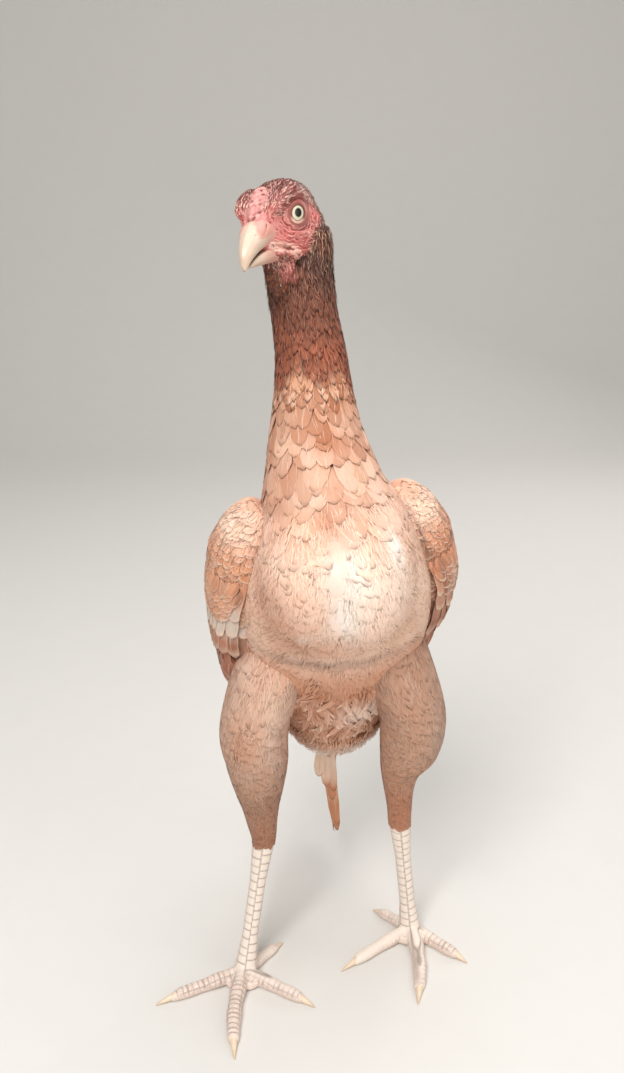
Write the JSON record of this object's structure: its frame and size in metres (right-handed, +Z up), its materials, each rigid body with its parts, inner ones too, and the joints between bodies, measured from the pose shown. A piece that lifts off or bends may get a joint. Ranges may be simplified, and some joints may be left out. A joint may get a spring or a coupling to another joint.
{
  "type": "game hen model",
  "caption": "Life-size still model of an upright hard-feathered game hen, standing, with its head turned a little.",
  "frame": {"origin": "on the floor, under the middle of the bird's bounding box", "axes": "+Z up, the bird faces -Y, +X is the bird's left side"},
  "size_m": [0.2519, 0.2485, 0.6012],
  "materials": {
    "plumage": "pale wheaten buff feathers, smooth and close",
    "wing_plumage": "cinnamon brown feathers with pale edges",
    "neck_plumage": "dark red-brown narrow feathers",
    "face_skin": "red wrinkled bare skin",
    "comb_skin": "pink smooth skin of a low comb",
    "horn": "ivory horn, satin",
    "scaled_skin": "whitish pink scaled skin",
    "eye": "pale iris with a black pupil, wet gloss"
  },
  "bodies": {
    "root": {"beak_lower": "horn", "beak_upper": "horn", "claw_hind_left": "horn", "claw_hind_right": "horn", "claw_inner_left": "horn", "claw_inner_right": "horn", "claw_middle_left": "horn", "claw_middle_right": "horn", "claw_outer_left": "horn", "claw_outer_right": "horn", "comb": "comb_skin", "eye_left": "eye", "eye_right": "eye", "head": "face_skin", "neck_lower": "plumage", "neck_upper": "neck_plumage", "shank_left": "scaled_skin", "shank_right": "scaled_skin", "tail": "wing_plumage", "thigh_left": "plumage", "thigh_right": "plumage", "toe_hind_left": "scaled_skin", "toe_hind_right": "scaled_skin", "toe_inner_left": "scaled_skin", "toe_inner_right": "scaled_skin", "toe_middle_left": "scaled_skin", "toe_middle_right": "scaled_skin", "toe_outer_left": "scaled_skin", "toe_outer_right": "scaled_skin", "torso": "plumage", "wing_left": "wing_plumage", "wing_right": "wing_plumage"}
  },
  "joints": []
}
